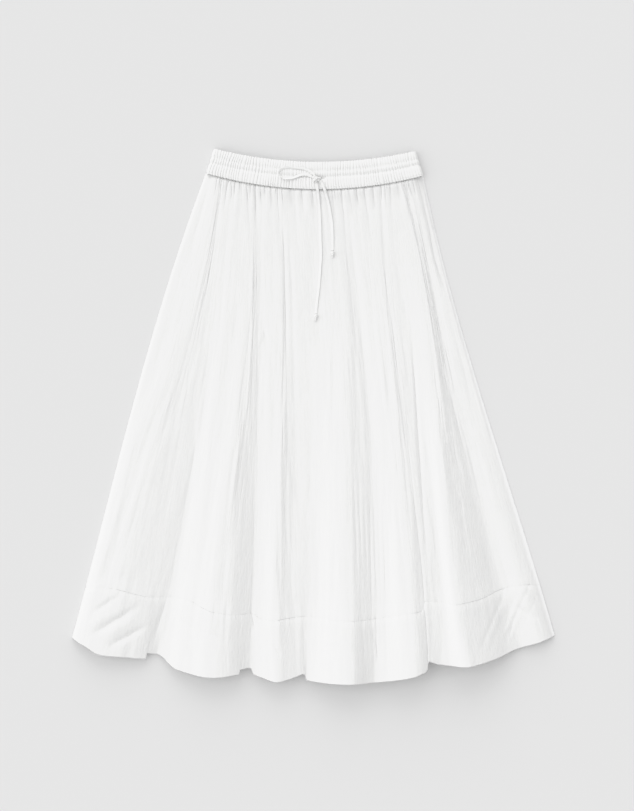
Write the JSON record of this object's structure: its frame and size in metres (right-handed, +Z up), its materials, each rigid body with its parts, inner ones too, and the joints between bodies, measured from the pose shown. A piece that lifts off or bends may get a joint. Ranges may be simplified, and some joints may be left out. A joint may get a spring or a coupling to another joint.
{
  "type": "gathered maxi skirt",
  "caption": "Long white gathered skirt laid flat, with an elastic drawstring waistband, wide soft flares and a deep stitched hem band.",
  "frame": {"origin": "on the table, under the middle of the skirt's overall box", "axes": "+Y along the skirt to the waist, +X to the right as the front is seen, +Z up from the table"},
  "size_m": [0.8494, 0.9368, 0.0443],
  "materials": {
    "cotton": "matt white cotton, lightly crinkled",
    "gathered_casing": "matt white cotton, gathered on elastic",
    "drawstring_cord": "soft white woven cord"
  },
  "bodies": {
    "root": {"front_panel": "cotton", "back_panel": "cotton", "front_hem_band": "cotton", "back_hem_band": "cotton", "waistband": "gathered_casing", "drawstring_loop": "drawstring_cord", "drawstring_tail_long": "drawstring_cord", "drawstring_tail_short": "drawstring_cord", "bow_knot": "drawstring_cord", "end_knot_long": "drawstring_cord", "end_knot_short": "drawstring_cord"}
  },
  "joints": []
}
